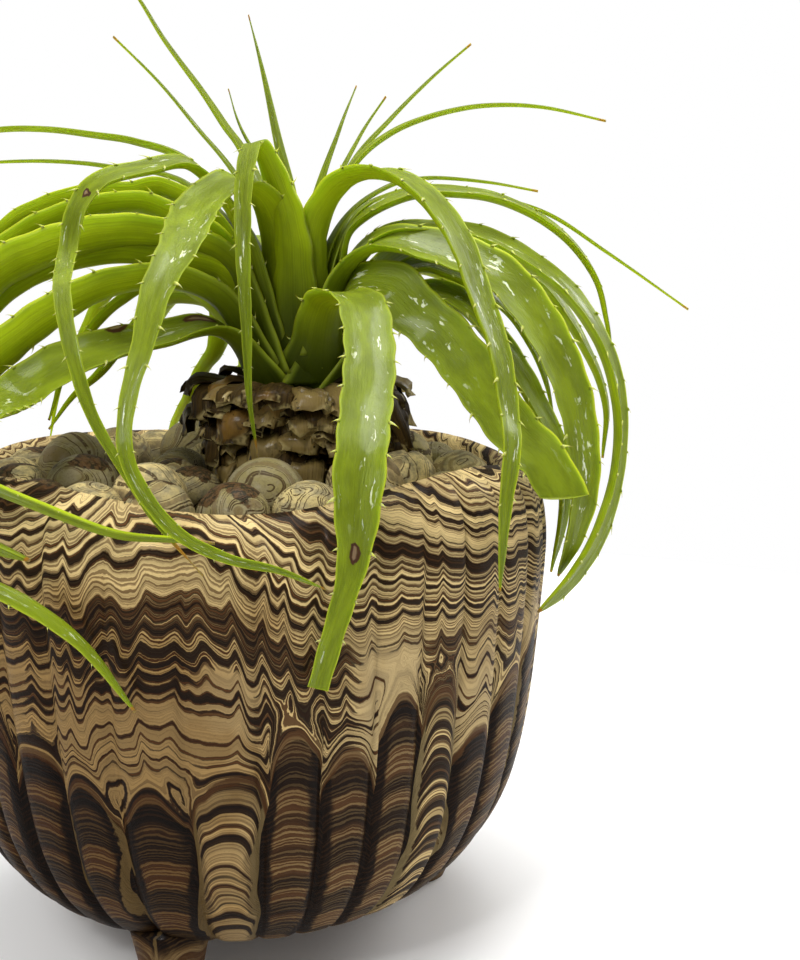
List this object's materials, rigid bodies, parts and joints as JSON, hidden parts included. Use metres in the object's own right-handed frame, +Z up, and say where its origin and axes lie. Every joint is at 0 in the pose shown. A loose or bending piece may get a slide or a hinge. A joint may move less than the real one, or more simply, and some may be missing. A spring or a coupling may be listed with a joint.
{
  "type": "potted spiny bromeliad",
  "caption": "Spiny rosette bromeliad, encholirium horridum, on a short scaly trunk in a footed, fluted bowl of marbled clay topped with round clay pebbles.",
  "frame": {"origin": "centre of the bounding box's base, on the pot's axis where the feet stand", "axes": "+Z up along the pot's axis, -Y towards the front of the plant, +X to its right"},
  "size_m": [0.3031, 0.2047, 0.2922],
  "materials": {
    "marbled_clay": "satin",
    "pebble_clay": "matte",
    "potting_mix": "matte",
    "dried_leaf": "matte",
    "green_leaf": "satin"
  },
  "bodies": {
    "root": {"pot": "marbled_clay", "soil": "potting_mix", "pebbles_01": "pebble_clay", "pebbles_02": "pebble_clay", "pebbles_03": "pebble_clay", "pebbles_04": "pebble_clay", "pebbles_05": "pebble_clay", "pebbles_06": "pebble_clay", "pebbles_07": "pebble_clay", "pebbles_08": "pebble_clay", "pebbles_09": "pebble_clay", "pebbles_10": "pebble_clay", "pebbles_11": "pebble_clay", "pebbles_12": "pebble_clay", "stem": "dried_leaf", "leaf_front_1": "green_leaf", "leaf_front_2": "green_leaf", "leaf_front_3": "green_leaf", "leaf_front_4": "green_leaf", "leaf_front_5": "green_leaf", "leaf_front_6": "green_leaf", "leaf_front_7": "green_leaf", "leaf_front_8": "green_leaf", "leaf_right_1": "green_leaf", "leaf_right_2": "green_leaf", "leaf_right_3": "green_leaf", "leaf_right_4": "green_leaf", "leaf_right_5": "green_leaf", "leaf_right_6": "green_leaf", "leaf_right_7": "green_leaf", "leaf_right_8": "green_leaf", "leaf_back_1": "green_leaf", "leaf_back_2": "green_leaf", "leaf_back_3": "green_leaf", "leaf_back_4": "green_leaf", "leaf_back_5": "green_leaf", "leaf_back_6": "green_leaf", "leaf_back_7": "green_leaf", "leaf_back_8": "green_leaf", "leaf_back_9": "green_leaf", "leaf_back_10": "green_leaf", "leaf_back_11": "green_leaf", "leaf_back_12": "green_leaf", "leaf_left_1": "green_leaf", "leaf_left_2": "green_leaf", "leaf_left_3": "green_leaf", "leaf_left_4": "green_leaf", "leaf_left_5": "green_leaf", "leaf_left_6": "green_leaf", "leaf_left_7": "green_leaf", "leaf_left_8": "green_leaf", "leaf_left_9": "green_leaf", "leaf_left_10": "green_leaf", "leaf_left_11": "green_leaf"}
  },
  "joints": []
}
